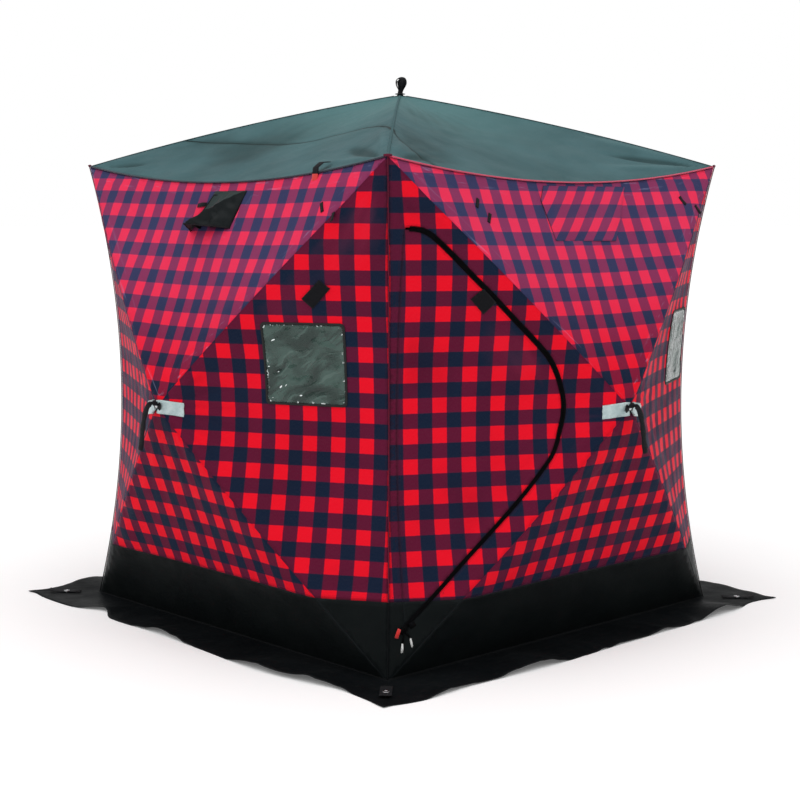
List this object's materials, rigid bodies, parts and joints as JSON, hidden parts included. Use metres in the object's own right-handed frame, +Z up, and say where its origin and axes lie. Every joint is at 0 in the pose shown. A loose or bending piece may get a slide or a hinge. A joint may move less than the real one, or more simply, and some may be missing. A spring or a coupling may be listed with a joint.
{
  "type": "ice fishing hut",
  "caption": "Pop-up hub ice fishing shelter with bulging plaid walls, a grey-green roof, a black base band, a ground skirt and a swinging zip door.",
  "frame": {"origin": "centre of the square floor plan, on the ground", "axes": "+Z up; +X out through the wall with the door; -Y out through the wall with the open vent hood"},
  "size_m": [2.5964, 2.5964, 2.136],
  "materials": {
    "roof_cloth": "coated woven polyester, light grey green, matt",
    "plaid_cloth": "woven polyester printed with red, maroon and navy checks, slight sheen",
    "black_cloth": "black woven polyester",
    "skirt_cloth": "black coated polyester skirt",
    "window_vinyl": "clear flexible vinyl, crinkled",
    "pole_fibreglass": "dark fibreglass rod",
    "hub_plastic": "black moulded plastic",
    "webbing": "black woven webbing",
    "grommet_metal": "plated grommet on a black tab",
    "zip_tape": "black zip tape and coil",
    "hook_loop": "black hook and loop pad",
    "reflective_tape": "silver grey reflective tape"
  },
  "bodies": {
    "hut": {"roof_canopy": "roof_cloth", "front_upper_panel": "plaid_cloth", "front_left_panel": "plaid_cloth", "front_right_panel": "plaid_cloth", "front_lower_panel": "plaid_cloth", "door_wall_upper_panel": "plaid_cloth", "door_wall_door_panel": "plaid_cloth", "door_wall_far_panel": "plaid_cloth", "door_wall_lower_panel": "plaid_cloth", "back_upper_panel": "plaid_cloth", "back_left_panel": "plaid_cloth", "back_right_panel": "plaid_cloth", "back_lower_panel": "plaid_cloth", "left_upper_panel": "plaid_cloth", "left_left_panel": "plaid_cloth", "left_right_panel": "plaid_cloth", "left_lower_panel": "plaid_cloth", "front_band": "black_cloth", "door_wall_band": "black_cloth", "back_band": "black_cloth", "left_band": "black_cloth", "front_skirt": "skirt_cloth", "door_wall_skirt": "skirt_cloth", "back_skirt": "skirt_cloth", "left_skirt": "skirt_cloth", "anchor_tabs": "grommet_metal", "frame_zip": "zip_tape", "wall_poles": "pole_fibreglass", "roof_poles": "pole_fibreglass", "wall_hubs": "hub_plastic", "roof_hub": "hub_plastic", "front_window": "window_vinyl", "door_wall_window": "window_vinyl", "back_window": "window_vinyl", "left_window": "window_vinyl", "vent_hood": "black_cloth", "vent_cover": "plaid_cloth", "hub_pull_straps": "webbing", "reflective_strips": "reflective_tape", "roof_pull_loop": "webbing", "front_patch": "hook_loop"},
    "door": {"door_flap": "plaid_cloth", "door_lower_flap": "black_cloth", "door_zip": "zip_tape", "door_patch": "hook_loop"}
  },
  "joints": [
    {"name": "door_swing", "type": "hinge", "parent": "hut", "child": "door", "pos_m": [0.89708, -0.81321, 0.9], "axis": [0, 0, -1], "range_deg": [0, 110]}
  ]
}
